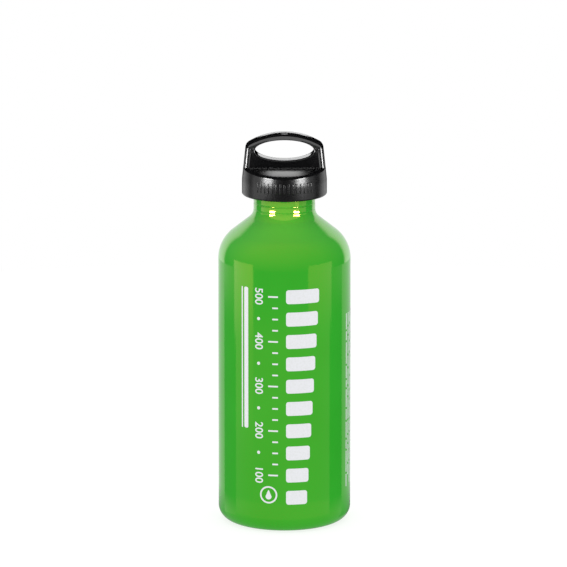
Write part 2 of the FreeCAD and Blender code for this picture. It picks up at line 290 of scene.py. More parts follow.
greenLacquer = makeGreenLacquer()
drawnAluminium = makeDrawnAluminium()
turnedAluminium = makeTurnedAluminium()
whiteInk = makeWhiteInk()
grainedNylon = makeBlackNylon("blackNylonSparkGrain", "#0B0B0C", "#131314", 0.55, 0.05, 0.25, 0.34, 0.22)
smoothNylon = makeBlackNylon("blackNylonSatin", "#0D0D0E", "#131314", 0.8, 0.006, 0.1, 0.14, 0.42)
plugNylon = makeBlackNylon("blackNylonMoulded", "#151516", "#1E1E20", 0.7, 0.02, 0.35, 0.5)
sealRubber = makeSealRubber()
springSteel = makeSpringSteel()
washerAcetal = makeWasherAcetal()
print("materials made")


# Bottle shell: hollow base, straight wall, necked shoulder, ringed neck and rolled mouth

bottle = {
    "inkRoom": 0.06,       # lacquer inside the CAD wall, so that the ink on it stays in the box
    "sideWall": 0.9,
    "baseWall": 1.6,
    "baseCorner": 7.9,
    "footWidth": 1.6,
    "heelRadius": 3.0,
    "baseHollow": 6.0,
    "wallTop": 147.25,
    "shoulderRadius": 19.6,
    "shoulderTurn": 51.6,
    "throatRadius": 6.64,
    "neckRadius": 17.0,
    "neckHeight": 12.6,
    "lipBend": 0.3,
    "lipReach": 14.75,     # radius that the mouth is rolled in to
    "ringRadius": 0.6,
    "ringDepth": 0.25,
    "ringStart": 4.5,      # degrees short of upright, where the first ring starts
    "ringSpacing": 2.5,
    "spinSteps": 192,
}


def makeBottle():
    s = bottle
    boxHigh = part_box("bottle_shell")[1]
    radius = boxHigh.x / mm
    mouth = boxHigh.z / mm
    wall = radius - s["inkRoom"]
    neck = s["neckRadius"] - s["inkRoom"]
    slope = math.radians(s["shoulderTurn"])
    neckBase = mouth - s["neckHeight"]
    shoulderCentre = radius - s["shoulderRadius"]
    throatCentre = s["neckRadius"] + s["throatRadius"]
    throat = s["throatRadius"] + s["inkRoom"]
    footOuter = wall - s["baseCorner"]
    footInner = footOuter - s["footWidth"]
    hollow = s["baseHollow"]
    heel = s["heelRadius"]
    hollowRadius = (footInner ** 2 + hollow ** 2 - 2 * heel * hollow) / (2 * hollow)
    heelTurn = math.degrees(math.atan2(footInner, heel - hollow + hollowRadius))
    ringHalf = math.acos(1 - s["ringDepth"] / s["ringRadius"])
    lip = s["lipBend"] + s["sideWall"]
    innerShoulder = s["shoulderRadius"] - s["sideWall"]
    neckBore = s["neckRadius"] - s["sideWall"]
    innerCorner = s["baseCorner"] - s["baseWall"]

    path = [(0, hollow)]
    arcTo(path, 0, hollow - hollowRadius, -heelTurn, 12)
    arcTo(path, footInner, heel, heelTurn, 8)
    lineTo(path, footOuter, 0)
    arcTo(path, footOuter, s["baseCorner"], 90, 20)
    lineTo(path, wall, s["wallTop"])
    arcTo(path, shoulderCentre, s["wallTop"], s["shoulderTurn"], 24)
    lineTo(path, throatCentre - throat * math.cos(slope), neckBase - throat * math.sin(slope))
    arcTo(path, throatCentre, neckBase, s["ringStart"] - s["shoulderTurn"], 14)
    for gap in (0, s["ringSpacing"]):
        if gap:
            lineTo(path, neck, path[-1][1] + gap, 0.1)
        middle = path[-1][1] + s["ringRadius"] * math.sin(ringHalf)
        ringCentre = path[-1][0] - s["ringDepth"] + s["ringRadius"]
        arcTo(path, ringCentre, middle, -2 * math.degrees(ringHalf), 10)
    lineTo(path, neck, mouth - lip)
    arcTo(path, neck - lip, mouth - lip, 90, 8)
    outerCount = len(path)
    lineTo(path, s["lipReach"], mouth)
    lineTo(path, s["lipReach"], mouth - s["sideWall"])
    lineTo(path, neckBore - s["lipBend"], mouth - s["sideWall"])
    arcTo(path, neckBore - s["lipBend"], mouth - lip, -90, 5)
    lineTo(path, neckBore, neckBase)
    arcTo(path, throatCentre, neckBase, s["shoulderTurn"], 12)
    lineTo(path, shoulderCentre + innerShoulder * math.cos(slope), s["wallTop"] + innerShoulder * math.sin(slope))
    arcTo(path, shoulderCentre, s["wallTop"], -s["shoulderTurn"], 16)
    lineTo(path, radius - s["sideWall"], s["baseCorner"])
    arcTo(path, radius - s["sideWall"] - innerCorner, s["baseCorner"], -90, 12)
    lineTo(path, footInner, s["baseWall"])
    arcTo(path, footInner, heel, -heelTurn, 6)
    arcTo(path, 0, hollow - hollowRadius, heelTurn, 10)
    shell = spinProfile(path, s["spinSteps"])

    finishPiece(shell, "bottleShell", "bottle", [greenLacquer, drawnAluminium], "bottle_shell")
    # the lining starts at the rolled lip's inner edge
    outline = [Vector((pathRadius * mm, pathHeight * mm)) for pathRadius, pathHeight in path[outerCount:]]
    inner = {(round(point.x, 6), round(point.y, 6)) for point in outline}
    for face in shell.data.polygons:
        corners = [shell.data.vertices[number].co for number in face.vertices]
        onLining = [(round(math.hypot(co.x, co.y), 6), round(co.z, 6)) in inner for co in corners]
        face.material_index = 1 if all(onLining) else 0
    return shell


bottleShell = makeBottle()


# Printed marks: a plain filling gauge of bars, ticks and numbers, a stripe, a ringed drop and fine rules at the side

printedMarks = {
    "film": 0.08,           # ink and what of it is sunk in the lacquer
    "boxGap": 0.02,         # ink inside the CAD wall
    "facet": 1.5,           # widest flat strip of a mark once it is wrapped
    "empty": 7.9,           # height of the gauge's zero
    "perHundred": 25.1,     # height of 100 ml in the straight wall
    "barLeft": 0.9,
    "barHeight": 7.8,
    "barWide": 19.0,
    "barNarrow": 11.0,
    "barRounding": 1.4,
    "fineRounding": 0.25,   # ends of the ticks and rules
    "tickRight": -3.5,
    "tickLong": 5.5,
    "tickShort": 3.2,
    "tickWidth": 0.9,
    "numberMiddle": -14.5,
    "numberSize": 6.4,
    "numberBold": 0.012,    # share of the size that each stroke is widened by
    "dotRadius": 0.9,
    "stripeMiddle": -23.1,
    "stripeTop": 137.8,
    "stripeBottom": 58.6,
    "stripeLines": [(-0.4, 2.2, 0.9), (-2.2, -1.4, 0.3)],  # left and right of the middle, rounding
    "dropMiddle": (-8.8, 21.9),
    "dropRing": 4.9,
    "dropLine": 0.9,
    "dropRadius": 1.7,
    "dropDown": 0.9,        # drop below the middle of its ring
    "dropWaist": 0.35,
    "dropPoint": 1.1,
    "ruleLeft": 43.4,
    "ruleTop": 119.0,
    "ruleBottom": 20.0,
    "ruleCount": 9,
    "rulePitch": 3.0,
    "ruleWidth": 0.9,
    "ruleDashes": (9, 5, 12, 7, 4, 10, 6),
    "ruleGap": 1.2,
    "ruleShift": 3,         # dashes that each rule starts further on
}


# a flat rounded bar, laid out on the unrolled wall
def addBar(left, right, bottom, top, rounding):
    bpy.ops.object.select_all(action="DESELECT")
    bpy.ops.mesh.primitive_plane_add(size=1, rotation=(math.pi / 2, 0, 0),
                                     location=((left + right) / 2 * mm, 0, (bottom + top) / 2 * mm))
    bar = bpy.context.object
    bar.scale = ((right - left) * mm, (top - bottom) * mm, 1)
    bpy.ops.object.transform_apply(location=True, rotation=True, scale=True)
    bpy.ops.object.mode_set(mode="EDIT")
    bpy.ops.mesh.bevel(offset=rounding * mm, segments=4, affect="VERTICES")
    bpy.ops.object.mode_set(mode="OBJECT")
    return bar


# a flat numeral, read from top to bottom
def addNumber(text, middle, height, size):
    bpy.ops.object.select_all(action="DESELECT")
    bpy.ops.object.text_add(rotation=(math.pi / 2, math.pi / 2, 0), location=(middle * mm, 0, height * mm))
    number = bpy.context.object
    number.data.body = text
    number.data.size = size * mm
    number.data.align_x = "CENTER"
    number.data.align_y = "CENTER"
    number.data.offset = printedMarks["numberBold"] * size * mm
    bpy.ops.object.convert(target="MESH")
    bpy.ops.object.transform_apply(location=True, rotation=True, scale=True)
    return bpy.context.object


# a flat disc; with a line width, a ring
def addDisc(middle, radius, line=None):
    bpy.ops.object.select_all(action="DESELECT")
    bpy.ops.mesh.primitive_circle_add(vertices=48, radius=radius * mm, fill_type="NGON", rotation=(math.pi / 2, 0, 0),
                                      location=(middle[0] * mm, 0, middle[1] * mm))
    bpy.ops.object.transform_apply(location=True, rotation=True, scale=True)
    if line:
        bpy.ops.object.mode_set(mode="EDIT")
        bpy.ops.mesh.inset(thickness=line * mm)
        bpy.ops.mesh.delete(type="FACE")
        bpy.ops.object.mode_set(mode="OBJECT")
    return bpy.context.object


# a disc drawn out to a point at the top
def addDrop(middle, radius):
    drop = addDisc(middle, radius)
    for vertex in drop.data.vertices:
        lift = (vertex.co.z / mm - middle[1]) / radius
        if lift > 0:
            vertex.co.x = (middle[0] + (vertex.co.x / mm - middle[0]) * (1 - printedMarks["dropWaist"] * lift)) * mm
            vertex.co.z += printedMarks["dropPoint"] * radius * lift ** 3 * mm
    return drop


def makePrintedMarks():
    s = printedMarks
    marks = []
    for half in range(1, 11):  # a bar for each 50 ml
        middle = s["empty"] + half * s["perHundred"] / 2
        width = s["barNarrow"] + (s["barWide"] - s["barNarrow"]) * half / 10
        marks.append(addBar(s["barLeft"], s["barLeft"] + width, middle - s["barHeight"] / 2,
                            middle + s["barHeight"] / 2, s["barRounding"]))
    for quarter in range(4, 21):  # a tick for each 25 ml, a number for each 100 ml
        height = s["empty"] + quarter * s["perHundred"] / 4
        length = s["tickShort"] if quarter % 4 else s["tickLong"]
        marks.append(addBar(s["tickRight"] - length, s["tickRight"], height - s["tickWidth"] / 2,
                            height + s["tickWidth"] / 2, s["fineRounding"]))
        if quarter % 4 == 0:
            marks.append(addNumber(str(quarter * 25), s["numberMiddle"], height, s["numberSize"]))
        if quarter % 4 == 2:
            marks.append(addDisc((s["numberMiddle"], height), s["dotRadius"]))
    for left, right, rounding in s["stripeLines"]:
        marks.append(addBar(s["stripeMiddle"] + left, s["stripeMiddle"] + right, s["stripeBottom"], s["stripeTop"],
                            rounding))
    marks.append(addDisc(s["dropMiddle"], s["dropRing"], s["dropLine"]))
    marks.append(addDrop((s["dropMiddle"][0], s["dropMiddle"][1] - s["dropDown"]), s["dropRadius"]))
    dashes = s["ruleDashes"]
    for column in range(s["ruleCount"]):
        left = s["ruleLeft"] + column * s["rulePitch"]
        top = s["ruleTop"]
        number = column * s["ruleShift"]
        while top - dashes[number % len(dashes)] > s["ruleBottom"]:
            bottom = top - dashes[number % len(dashes)]
            marks.append(addBar(left, left + s["ruleWidth"], bottom, top, s["fineRounding"]))
            top -= dashes[number % len(dashes)] + s["ruleGap"]
            number += 1

    layer = joinAll(marks)
    reach = max(abs(vertex.co.x) for vertex in layer.data.vertices) / mm
    bpy.ops.object.mode_set(mode="EDIT")
    for number in range(-int(reach / s["facet"]), int(reach / s["facet"]) + 1):
        bpy.ops.mesh.select_all(action="SELECT")
        bpy.ops.mesh.bisect(plane_co=(number * s["facet"] * mm, 0, 0), plane_no=(1, 0, 0))
    bpy.ops.object.mode_set(mode="OBJECT")
    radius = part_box("bottle_shell")[1].x - s["boxGap"] * mm
    for vertex in layer.data.vertices:  # wraps the flat layout round the wall, front towards -Y
        angle = vertex.co.x / radius
        vertex.co.x = radius * math.sin(angle)
        vertex.co.y = -radius * math.cos(angle)
    film = layer.modifiers.new("film", "SOLIDIFY")
    film.thickness = s["film"] * mm
    film.offset = -1
    applyModifiers(layer)
    finishPiece(layer, "printedMarks", "bottle", [whiteInk])


makePrintedMarks()


# Outer cap: skirt, arched deck and carrying handle in one moulding

cap = {
    "skirtWall": 1.9,
    "skirtStraight": 8.4,
    "skirtEdge": 0.9,
    "boreEdge": 0.3,
    "draft": 6.0,          # degrees, upper skirt and sides of the handle
    "draftBlend": 0.5,     # half the height over which the skirt turns into it
    "beadBore": 20.6,
    "beadTop": 5.65,       # heights from the skirt's lower edge
    "beadHeight": 1.4,
    "postBottom": 2.2,
    "padBottom": 10.2,
    "deckUnder": 12.1,
    "deckThickness": 3.3,  # along the handle
    "deckArch": 118.0,     # radius, front to back
    "deckRounding": 1.0,
    "deckCorner": 1.2,     # chamfer inside
    "postRadius": 3.7,
    "postChamfer": 0.5,
    "padRadius": 9.0,
    "spinSteps": 192,
    "dogCount": 12,
    "dogMiddle": 17.0,     # radius
    "dogSize": (5.0, 3.8, 1.6),
    "dogSink": 0.15,       # into the deck
    "dogRounding": 0.25,
    "ribCount": 15,        # grip ribs on the front, as many on the back
    "ribPitch": 5.6,       # degrees
    "ribSize": (0.9, 0.95, 5.6),
    "ribMiddle": 7.2,
    "ribSink": 0.1,        # its middle inside the skirt's surface
    "ribRounding": 0.28,
}

handle = {
    "halfThickness": 5.0,
    "arch": 38.6,          # radius of the arched top
    "corner": 3.4,
    "windowWidth": 32.4,
    "windowHeight": 11.6,
    "topBar": 3.5,
    "recess": 0.5,         # web behind the rim, each side
    "recessFrom": 0.7,     # room beside the window at which it deepens
    "recessRoom": 2.2,     # room past that which it needs to be full
    "recessLeast": 0.1,    # share of its way to full that it keeps everywhere
    "windowRounding": 0.6,
    "rim": 1.9,
    "rimEdge": 0.08,       # crisp inner edge of the rim
    "webLeast": 0.15,      # share of the room beside the window that stays flat
    "webFoot": 0.3,        # foot of the web above the handle's bottom
    "bevelWidth": 1.0,     # slope between the rim and the flat of the web
    "bevelBlend": 0.3,     # share of the slope that is blended into the web
    "bevelCorner": 6.0,
    "rimRounding": 0.9,
    "sideInset": 0.03,     # sides inside the skirt's cone, so that the two shapes melt cleanly
    "rootDepth": 2.2,      # bottom of the handle inside the deck, below its crown
    "points": 192,
    "furthest": 40.0,      # outline is looked for up to here from the middle of the window
    "closeness": 0.0005,
}

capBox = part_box("outer_cap")
skirtRadius = capBox[1].x / mm
skirtBottom = capBox[0].z / mm
apex = capBox[1].z / mm
coneBottom = skirtBottom + cap["skirtStraight"]
draftSlope = math.tan(math.radians(cap["draft"]))
crown = skirtBottom + cap["deckUnder"] + cap["deckThickness"]


# radius of the drafted upper skirt and of the handle's sides
def sideRadius(height):
    return skirtRadius - draftSlope * (height - coneBottom)


# how far the arched deck has fallen from its crown, at a distance from the handle's middle plane
def deckDrop(away):
    return cap["deckArch"] - math.sqrt(cap["deckArch"] ** 2 - away ** 2)


def makeSkirt():
    s = cap
    bore = skirtRadius - s["skirtWall"]
    bead = skirtBottom + s["beadTop"]
    under = skirtBottom + s["deckUnder"]
    rounding = s["deckRounding"]
    roundingRadius = sideRadius(crown - rounding) - rounding / math.cos(math.radians(s["draft"]))

    path = [(roundingRadius * number / 14, crown) for number in range(15)]
    arcTo(path, roundingRadius, crown - rounding, s["draft"] - 90, 12)
    lineTo(path, skirtRadius - draftSlope * s["draftBlend"], coneBottom + s["draftBlend"])
    lineTo(path, skirtRadius, coneBottom - s["draftBlend"])
    lineTo(path, skirtRadius, skirtBottom + s["skirtEdge"])
    arcTo(path, skirtRadius - s["skirtEdge"], skirtBottom + s["skirtEdge"], -90, 10)
    lineTo(path, bore + s["boreEdge"], skirtBottom, 0.1)
    arcTo(path, bore + s["boreEdge"], skirtBottom + s["boreEdge"], -90, 4)
    lineTo(path, bore, bead - s["beadHeight"])
    lineTo(path, s["beadBore"], bead - s["beadHeight"] / 2)
    lineTo(path, s["beadBore"], bead)
    lineTo(path, bore, bead)
    lineTo(path, bore, under - s["deckCorner"])
    lineTo(path, bore - s["deckCorner"], under)
    lineTo(path, s["padRadius"], under)
    lineTo(path, s["padRadius"], skirtBottom + s["padBottom"])
    lineTo(path, s["postRadius"], skirtBottom + s["padBottom"])
    lineTo(path, s["postRadius"], skirtBottom + s["postBottom"] + s["postChamfer"])
    lineTo(path, s["postRadius"] - s["postChamfer"], skirtBottom + s["postBottom"])
    lineTo(path, 0, skirtBottom + s["postBottom"])
    shape = spinProfile(path, s["spinSteps"])
    outside = bore + 0.2
    topSide = crown - 1.2 * rounding
    for vertex in shape.data.vertices:  # arches the flat deck, its edge staying on the drafted side
        radius = math.hypot(vertex.co.x, vertex.co.y) / mm
        height = vertex.co.z / mm
        if height > coneBottom + 2 * s["draftBlend"] and (radius > outside or height > topSide):
            drop = deckDrop(vertex.co.y / mm)
            vertex.co.xy *= 1 + draftSlope * drop / sideRadius(crown)
            vertex.co.z -= drop * mm
    return shape


# how deep a point lies in the handle's turned outline: drafted side, arched top and the rounded corner between
def handleDepth(radius, height, corner):
    s = handle
    cosine = math.cos(math.radians(cap["draft"]))
    archCentre = apex - s["arch"]
    side = (sideRadius(height) - radius) * cosine
    arch = s["arch"] - math.hypot(radius, height - archCentre)
    if side >= corner and arch >= corner:
        return min(side, arch)
    # where the inset side meets the inset arch
    reach = s["arch"] - corner
    base = sideRadius(archCentre) - corner / cosine
    rise = (base * draftSlope + math.sqrt((reach / cosine) ** 2 - base ** 2)) * cosine ** 2
    turnRadius = base - draftSlope * rise
    turnHeight = archCentre + rise
    if height < turnHeight + (radius - turnRadius) * draftSlope:
        return side
    if math.atan2(radius, height - archCentre) < math.atan2(turnRadius, turnHeight - archCentre):
        return arch
    return corner - math.hypot(radius - turnRadius, height - turnHeight)


# place on a ray from the middle of the window, at a depth in the outline and a distance from the middle plane
def outlinePlace(direction, depth, away, bottom, corner=handle["corner"]):
    middle = apex - handle["topBar"] - handle["windowHeight"] / 2
    near, far = 0.0, handle["furthest"]
    while far - near > handle["closeness"]:
        reach = (near + far) / 2
        inside = handleDepth(math.hypot(reach * direction.x, away), middle + reach * direction.y, corner) > depth
        near, far = (reach, far) if inside else (near, reach)
    if direction.y < 0:
        near = min(near, (bottom - middle) / direction.y)
    return direction * near


# one section of the handle on a ray from the middle of the window: window wall, web, hollow, rim and outer side,
# each as a place from that middle and a distance from the handle's middle plane
def handleSection(turn):
    s = handle
    half = s["halfThickness"]
    root = crown - s["rootDepth"]
    wide = s["windowWidth"] / 2
    tall = s["windowHeight"] / 2
    edge = Vector((wide * math.cos(turn), tall * math.sin(turn)))
    outward = Vector((math.cos(turn) / wide, math.sin(turn) / tall)).normalized()
    direction = edge.normalized()
    webStart = edge + outward * s["windowRounding"]
    rimReach = outlinePlace(direction, s["rim"], half, root).length
    room = rimReach - webStart.length
    share = min(1, max(s["recessLeast"], (room - s["recessFrom"]) / s["recessRoom"]))
    recess = s["recess"] * share * share * (3 - 2 * share)  # shallower where the top bar is narrow
    web = half - recess
    bevelPlace = outlinePlace(direction, s["rim"] + s["bevelWidth"], web, root + s["webFoot"], s["bevelCorner"])
    bevelReach = max(bevelPlace.length, webStart.length + s["webLeast"] * room)
    blend = s["bevelBlend"]

    section = [(edge, 0), (edge, web / 2)]
    for step in range(6):
        bend = math.pi / 2 * step / 5
        spread = s["windowRounding"] * (1 - math.cos(bend))
        section.append((edge + outward * spread, web - s["windowRounding"] * (1 - math.sin(bend))))
    for step in range(1, 5):
        section.append((webStart.lerp(direction * bevelReach, step / 4), web))
    for share in (0.1, 0.2, 0.3, 0.42, 0.55, 0.7, 0.85, 0.94, 1):
        lift = share ** 2 / (2 * blend) if share < blend else share - blend / 2
        reach = bevelReach + (rimReach - bevelReach) * share
        section.append((direction * reach, web + recess * lift / (1 - blend / 2)))
    for inset in (s["rim"] - s["rimEdge"], s["rimRounding"]):
        section.append((outlinePlace(direction, inset, half, root), half))
    for step in range(1, 7):
        bend = math.pi / 2 * step / 6
        inset = s["rimRounding"] * (1 - math.sin(bend)) + s["sideInset"]
        away = half - s["rimRounding"] * (1 - math.cos(bend))
        section.append((outlinePlace(direction, inset, away, root), away))
    for share in (0.75, 0.5, 0.25, 0):
        away = (half - s["rimRounding"]) * share
        section.append((outlinePlace(direction, s["sideInset"], away, root), away))
    return section


def makeHandle():
    count = handle["points"]
    middle = apex - handle["topBar"] - handle["windowHeight"] / 2
    sections = [handleSection(2 * math.pi * number / count) for number in range(count)]
    bpy.ops.object.select_all(action="DESELECT")
    bpy.ops.mesh.primitive_circle_add(vertices=count, radius=mm)
    shape = bpy.context.object
    bpy.ops.object.mode_set(mode="EDIT")
    mesh = bmesh.from_edit_mesh(shape.data)
    order = mesh.verts.layers.int.new("order")  # an extruded vertex keeps its number in the ring
    for number, vertex in enumerate(mesh.verts):
        vertex[order] = number
    for ring in range(len(sections[0])):  # rings from the window out to the sides
        if ring:
            bpy.ops.mesh.extrude_edges_move()
        mesh = bmesh.from_edit_mesh(shape.data)
        order = mesh.verts.layers.int["order"]
        for vertex in mesh.verts:
            if vertex.select:
                place, away = sections[vertex[order]][ring]
                vertex.co = (place.x * mm, -away * mm, (middle + place.y) * mm)
        bmesh.update_edit_mesh(shape.data)
    bpy.ops.object.mode_set(mode="OBJECT")
    mirror = shape.modifiers.new("otherFace", "MIRROR")
    mirror.use_axis = (False, True, False)
    mirror.merge_threshold = 0.002 * mm
    applyModifiers(shape)
    bpy.ops.object.mode_set(mode="EDIT")
    bpy.ops.mesh.select_all(action="SELECT")
    bpy.ops.mesh.remove_doubles(threshold=0.001 * mm)
    bpy.ops.mesh.normals_make_consistent(inside=False)
    bpy.ops.object.mode_set(mode="OBJECT")
    return shape


# copies of a bevelled block, each turned to its own angle about the bottle's axis
def addRing(size, radius, height, angles, rounding):
    blocks = []
    for angle in angles:
        bpy.ops.object.select_all(action="DESELECT")
        bpy.ops.mesh.primitive_cube_add(size=1, rotation=(0, 0, math.radians(angle)),
                                        location=(radius * mm * math.cos(math.radians(angle)),
                                                  radius * mm * math.sin(math.radians(angle)), height * mm))
        block = bpy.context.object
        block.scale = [side * mm for side in size]
        bpy.ops.object.transform_apply(location=True, rotation=True, scale=True)
        bpy.ops.object.mode_set(mode="EDIT")
        bpy.ops.mesh.bevel(offset=rounding * mm, segments=3)
        bpy.ops.object.mode_set(mode="OBJECT")
        blocks.append(block)
    return joinAll(blocks)


def makeCap():
    s = cap
    shape = makeSkirt()
    unite(shape, makeHandle())
    dogAngles = [180 / s["dogCount"] + number * 360 / s["dogCount"] for number in range(s["dogCount"])]
    length, width, drop = s["dogSize"]
    dogHeight = skirtBottom + s["deckUnder"] - drop / 2 + s["dogSink"]
    dogBlock = (length, width, drop + 2 * s["dogSink"])
    unite(shape, addRing(dogBlock, s["dogMiddle"], dogHeight, dogAngles, s["dogRounding"]))
    side = [(number - (s["ribCount"] - 1) / 2) * s["ribPitch"] for number in range(s["ribCount"])]
    ribAngles = [-90 + turn for turn in side] + [90 + turn for turn in side]
    unite(shape, addRing(s["ribSize"], skirtRadius - s["ribSink"], skirtBottom + s["ribMiddle"], ribAngles,
                         s["ribRounding"]))
    finishPiece(shape, "outerCap", "cap", [grainedNylon, smoothNylon], "outer_cap", 32)
    for face in shape.data.polygons:
        height = face.center.z / mm + deckDrop(face.center.y / mm)
        face.material_index = 1 if height > crown - s["deckRounding"] else 0
    shape.visible_glossy = False  # keeps the black cap out of what the lacquer mirrors
    return shape


outerCap = makeCap()


# Inner pieces keep their CAD shape, with merged corners and smooth shading

def copyNode(node, name, body, material, smooth=30):
    piece = bpy.data.objects.new(name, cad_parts[node].data.copy())
    bpy.context.scene.collection.objects.link(piece)
    makeActive(piece)
    piece.data.materials.clear()
    bpy.ops.object.mode_set(mode="EDIT")
    bpy.ops.mesh.select_all(action="SELECT")
    bpy.ops.mesh.remove_doubles(threshold=0.0005 * mm)
    bpy.ops.object.mode_set(mode="OBJECT")
    if piece.data.has_custom_normals:
        bpy.ops.mesh.customdata_custom_splitnormals_clear()
    finishPiece(piece, name, body, [material], node, smooth)
    return piece


copyNode("neck_thread_insert", "neckThreadInsert", "bottle", turnedAluminium)
innerPlug = copyNode("inner_plug", "innerPlug", "plug", plugNylon)
innerPlug.visible_glossy = False  # as the cap is
copyNode("plug_seal_ring", "plugSealRing", "plug_seal", sealRubber)
copyNode("thrust_washer", "thrustWasher", "slip_washer", washerAcetal)
spring = copyNode("return_spring", "returnSpring", "plug", springSteel)
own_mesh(spring)
print("inner pieces in place")


# Studio: white table and room, a hood and cards that only gloss sees, and lights for the cap and the lacquer

studio = {
    "roomLight": 1.08,
    "roomMirrored": 0.2,       # what gloss sees of the room below the hood
    "tableRadius": 0.64,
    "tableGlow": 0.8,
    "tablePaint": "#8A8A8A",
    # what the wall mirrors between two angles round the bottle: nearest and furthest place from the wall,
    # distances from the axis between which the glow changes, and the glow at each
    "tableCards": [(-47, -28, 0.06, 0.46, 0.10, 0.46, 0.68, 1.2), (-49, -28, 0.46, 0.74, 0.46, 0.66, 1.2, 3.0),
                   (21, 43, 0.06, 0.5, 0, 1, 0.7, 0.7), (21, 45, 0.5, 0.74, 0.5, 0.66, 0.72, 1.9),
                   (-65, -47, 0.02, 0.46, 0.06, 0.09, 0.9, 0.17), (-65, -49, 0.46, 0.74, 0.52, 0.64, 0.17, 0.9),
                   (43, 60, 0.02, 0.5, 0.06, 0.09, 0.7, 0.03), (45, 60, 0.5, 0.74, 0.54, 0.64, 0.03, 0.5),
                   (-28, 21, 0.06, 0.46, 0, 1, 0.78, 0.78), (-28, 21, 0.46, 0.74, 0.48, 0.6, 0.78, 0.25),
                   # The two cards that start at the wall glow less next to the foot: painted shade, standing in for the
                   # table's shade round the foot in what the wall mirrors
                   (-89, -65, 0.003, 0.46, 0.045, 0.09, 0.35, 0.9), (-89, -65, 0.46, 0.74, 0.48, 0.66, 0.9, 1.1),
                   (60, 89, 0.003, 0.46, 0.045, 0.09, 0.25, 0.7), (60, 89, 0.46, 0.74, 0.48, 0.66, 0.7, 1.0)],
    "footShade": (0.029, 0.064, 0.4, 0.8),  # radii of the dim ring round the foot, and its glow at each
    "hoodRadius": 1.6,         # pale hood round the bottle, which the shoulder and neck mirror
    "hoodBottom": -0.22,
    "hoodGlow": 1.95,          # in front
    "hoodSideGlow": 0.6,       # what that falls to before the back
    "hoodSideFrom": -0.4,      # where it starts to fall, along Y
    "hoodLowShare": 0.17,      # share of it at the lower edge
    "hoodSideShares": (1.25, 0.75),  # shares of it at the left and the right
    "hoodBackFrom": (0.88, 1.04),  # where the brighter back starts and is full, along Y
    "hoodBackGlow": (2.0, 1.0),  # at the back, and straight behind
    "hoodBackFall": 1.2,       # where the back starts to fall, along Y
    # cards that stand past the table: two angles as above, distance from the wall, height and glow
    "uprightCards": [(-49, -28, 0.74, 0.2, 3.0), (21, 45, 0.74, 0.2, 1.9)],
    "fillMiddle": (0, 0, 0.12),  # what the front fill faces
    "fillDistance": 2.2,
    "fillElevation": 12,
    "fillSize": (1.0, 1.0),
    "fillRadiance": 1.0,
    "neckFill": ((0, -32, 179.5), (30, 5), 1.5),  # soft light under the cap: place, size, radiance
    # lights that are only mirrored, in the cap or the lacquer: place, what it faces, size and radiance;
    # in millimetres, and one at each side unless it stands in the middle
    "capLights": {"capFront": ((35.5, -47.0, 196.5), (0, -15, 200.5), (21, 13), 58),
                  "capSide": ((60, 40, 172), (0, 40, 172), (70, 44), 1.3),
                  "capBar": ((0, -22, 212.3), (0, -5, 216), (56, 9), 2.8),
                  "capDeck": ((0, 315, 366), (0, -16, 197.5), (20, 58), 2.1),
                  "capSill": ((0, 300, 251.5), (0, 0, 203), (96, 50), 1.9)},
    "lacquerLights": {"neckPale": ((0, -24, 175.3), (0, -17, 177), (44, 10), 2.6),
                      "neckFront": ((12.3, -21.3, 174.6), (6.5, -15.7, 176.6), (6.2, 1.3), 200)},
}


def onlyMirrored(obj):
    obj.visible_camera = False
    obj.visible_diffuse = False
    obj.visible_transmission = False
    obj.visible_volume_scatter = False
    obj.visible_shadow = False


# a glowing stage surface
def glowMaterial(name, hexColour, strength):
    material, tree, shader, place = newMaterial(name)
    setSockets(tree, shader, {"Base Color": linearColour(hexColour), "Roughness": 0.9, "Specular IOR Level": 0,
                              "Emission Color": linearColour("#FFFFFF"), "Emission Strength": strength})
    material.cycles.emission_sampling = "NONE"
    return material, tree, shader, place


# a reflector that only gloss sees; each point of a grid is set by its two shares of the way across,
# and the glow changes between two distances from the axis
def addCard(name, placeOf, start, end, glow, endGlow):
    bpy.ops.object.select_all(action="DESELECT")
    bpy.ops.mesh.primitive_grid_add(x_subdivisions=32, y_subdivisions=4, size=1)
    card = bpy.context.object
    card.name = name
    for vertex in card.data.vertices:
        vertex.co = placeOf(vertex.co.x + 0.5, vertex.co.y + 0.5)
    material, tree, shader, place = glowMaterial(name, "#000000", glow)
    away = addNode(tree, "ShaderNodeVectorMath", {0: place}, operation="LENGTH")
    change = addNode(tree, "ShaderNodeMapRange", {"Value": away.outputs["Value"], "From Min": start, "From Max": end,
                                                  "To Min": glow, "To Max": endGlow})
    tree.links.new(change.outputs["Result"], shader.inputs["Emission Strength"])
    card.data.materials.append(material)
    onlyMirrored(card)


def onlyFor(name, piece):
    receivers = bpy.data.collections.new(name)
    receivers.objects.link(piece)
    return receivers


# an oblong light turned to a place
def addLight(name, place, target, size, radiance):
    bpy.ops.object.light_add(type="AREA", location=place)
    light = bpy.context.object
    light.name = name
    light.rotation_euler = (place - target).to_track_quat("Z", "Y").to_euler()
    light.data.shape = "RECTANGLE"
    light.data.size, light.data.size_y = size
    light.data.energy = radiance * math.pi * size[0] * size[1]
    light.visible_camera = False
    return light


# where a wall mirrors, a way off from an angle round the bottle
def mirroredPlace(radius, angle, reach, height):
    turn = math.radians(angle)
    return (radius * math.sin(turn) + reach * math.sin(2 * turn),
            -radius * math.cos(turn) - reach * math.cos(2 * turn), height)


